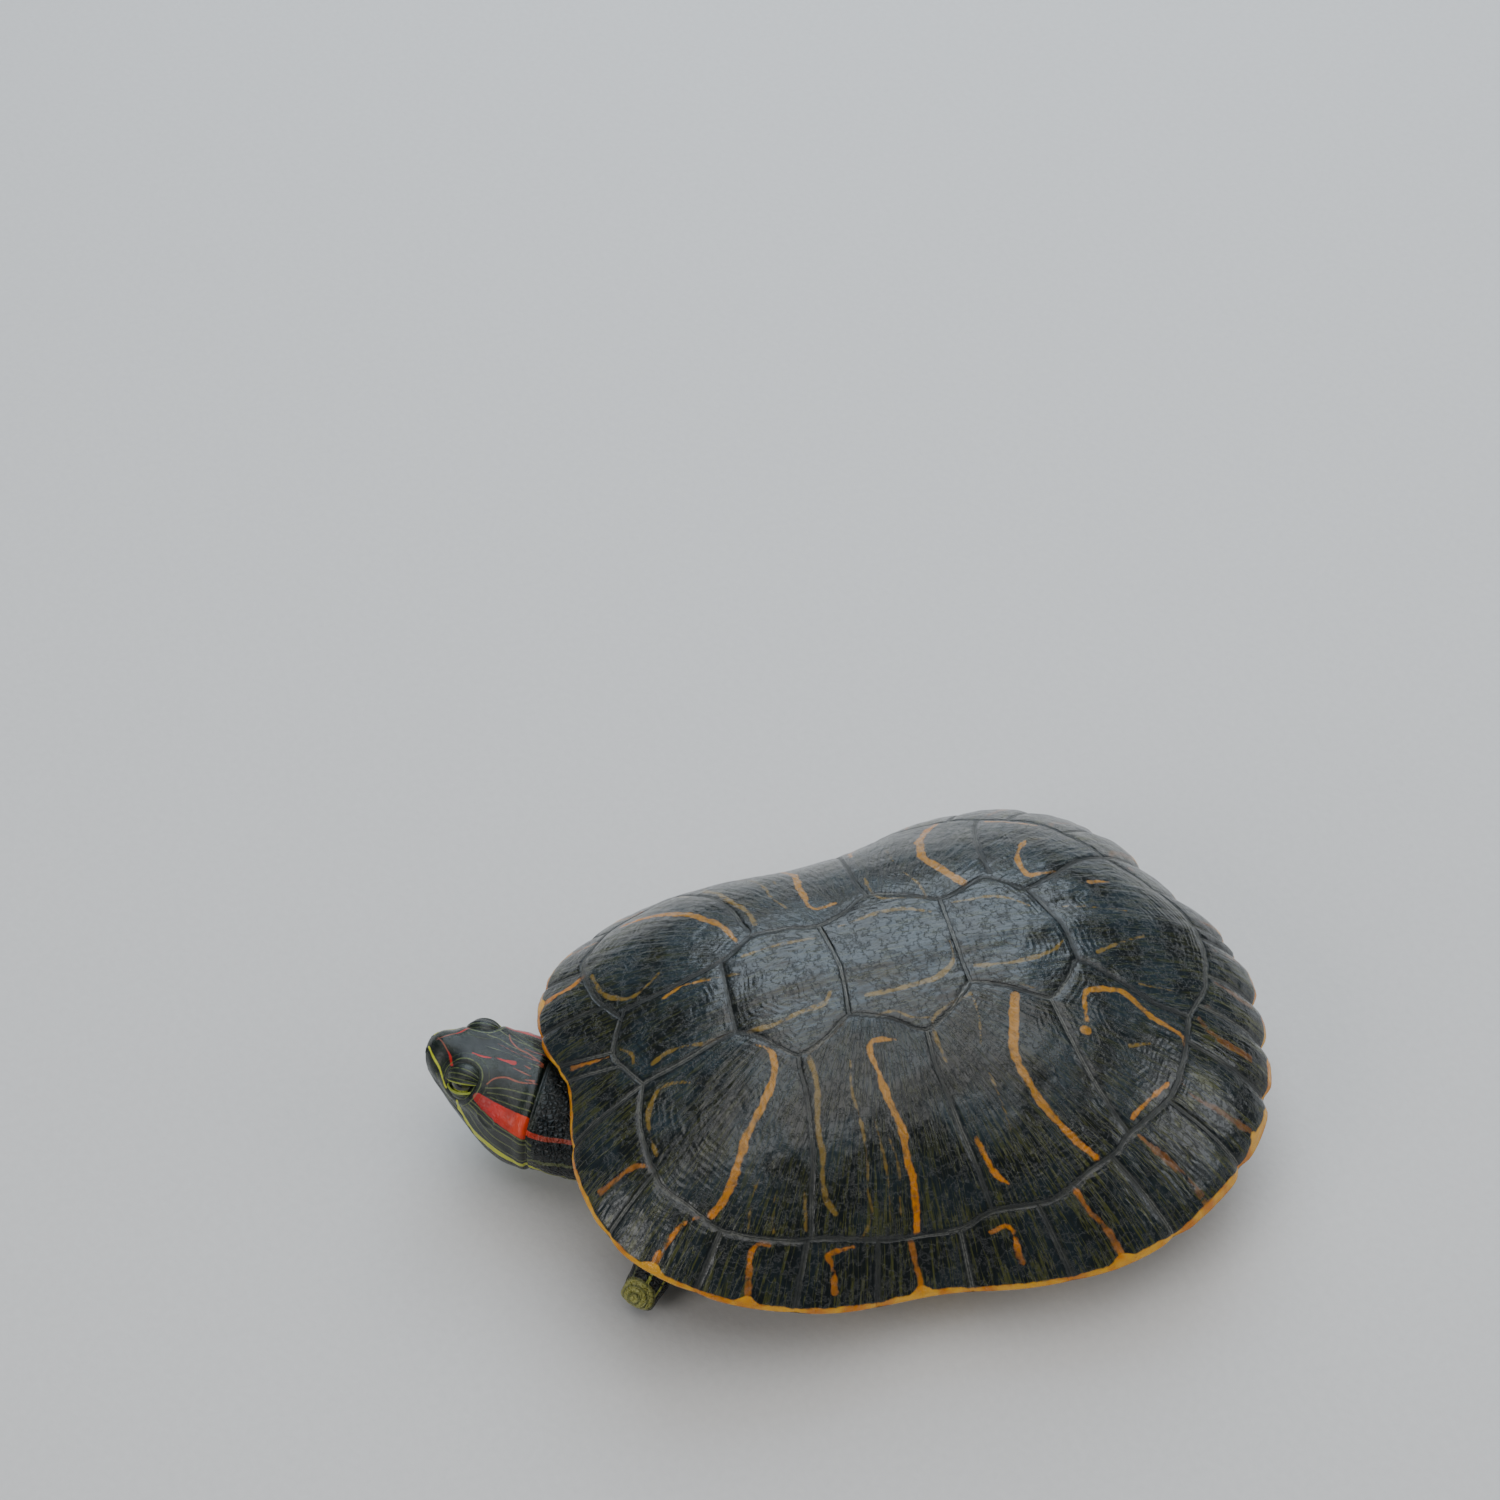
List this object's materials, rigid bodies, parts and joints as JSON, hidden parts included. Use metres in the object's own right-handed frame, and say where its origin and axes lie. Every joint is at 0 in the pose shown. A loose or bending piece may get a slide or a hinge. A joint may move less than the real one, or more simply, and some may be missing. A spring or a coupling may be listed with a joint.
{
  "type": "red-eared slider turtle",
  "caption": "Life-size red-eared slider turtle resting on its plastron, head half out and turned to its right, limbs drawn in.",
  "frame": {"origin": "middle of the turtle's outline at floor level, under the plastron", "axes": "the snout points along -Y, the turtle's left side is +X and its back is +Z"},
  "size_m": [0.183, 0.257, 0.0781],
  "materials": {
    "shell_horn": "dark olive horn with a low sheen, orange bars",
    "plastron_horn": "yellow horn with dark blotches, satin",
    "skin_olive": "olive-black skin with yellow stripes, satin",
    "skin_foot": "olive skin with yellow stripes, satin",
    "eye_green": "wet yellow-green eye with a dark bar"
  },
  "bodies": {
    "root": {"carapace": "shell_horn", "plastron": "plastron_horn", "bridge_left": "plastron_horn", "bridge_right": "plastron_horn", "trunk": "skin_olive", "neck": "skin_olive", "head": "skin_olive", "eye_left": "eye_green", "eye_right": "eye_green", "foreleg_left": "skin_olive", "foreleg_right": "skin_olive", "hindleg_left": "skin_olive", "hindleg_right": "skin_olive", "tail": "skin_olive", "forefoot_left": "skin_foot", "forefoot_right": "skin_foot", "hindfoot_left": "skin_foot", "hindfoot_right": "skin_foot"}
  },
  "joints": []
}
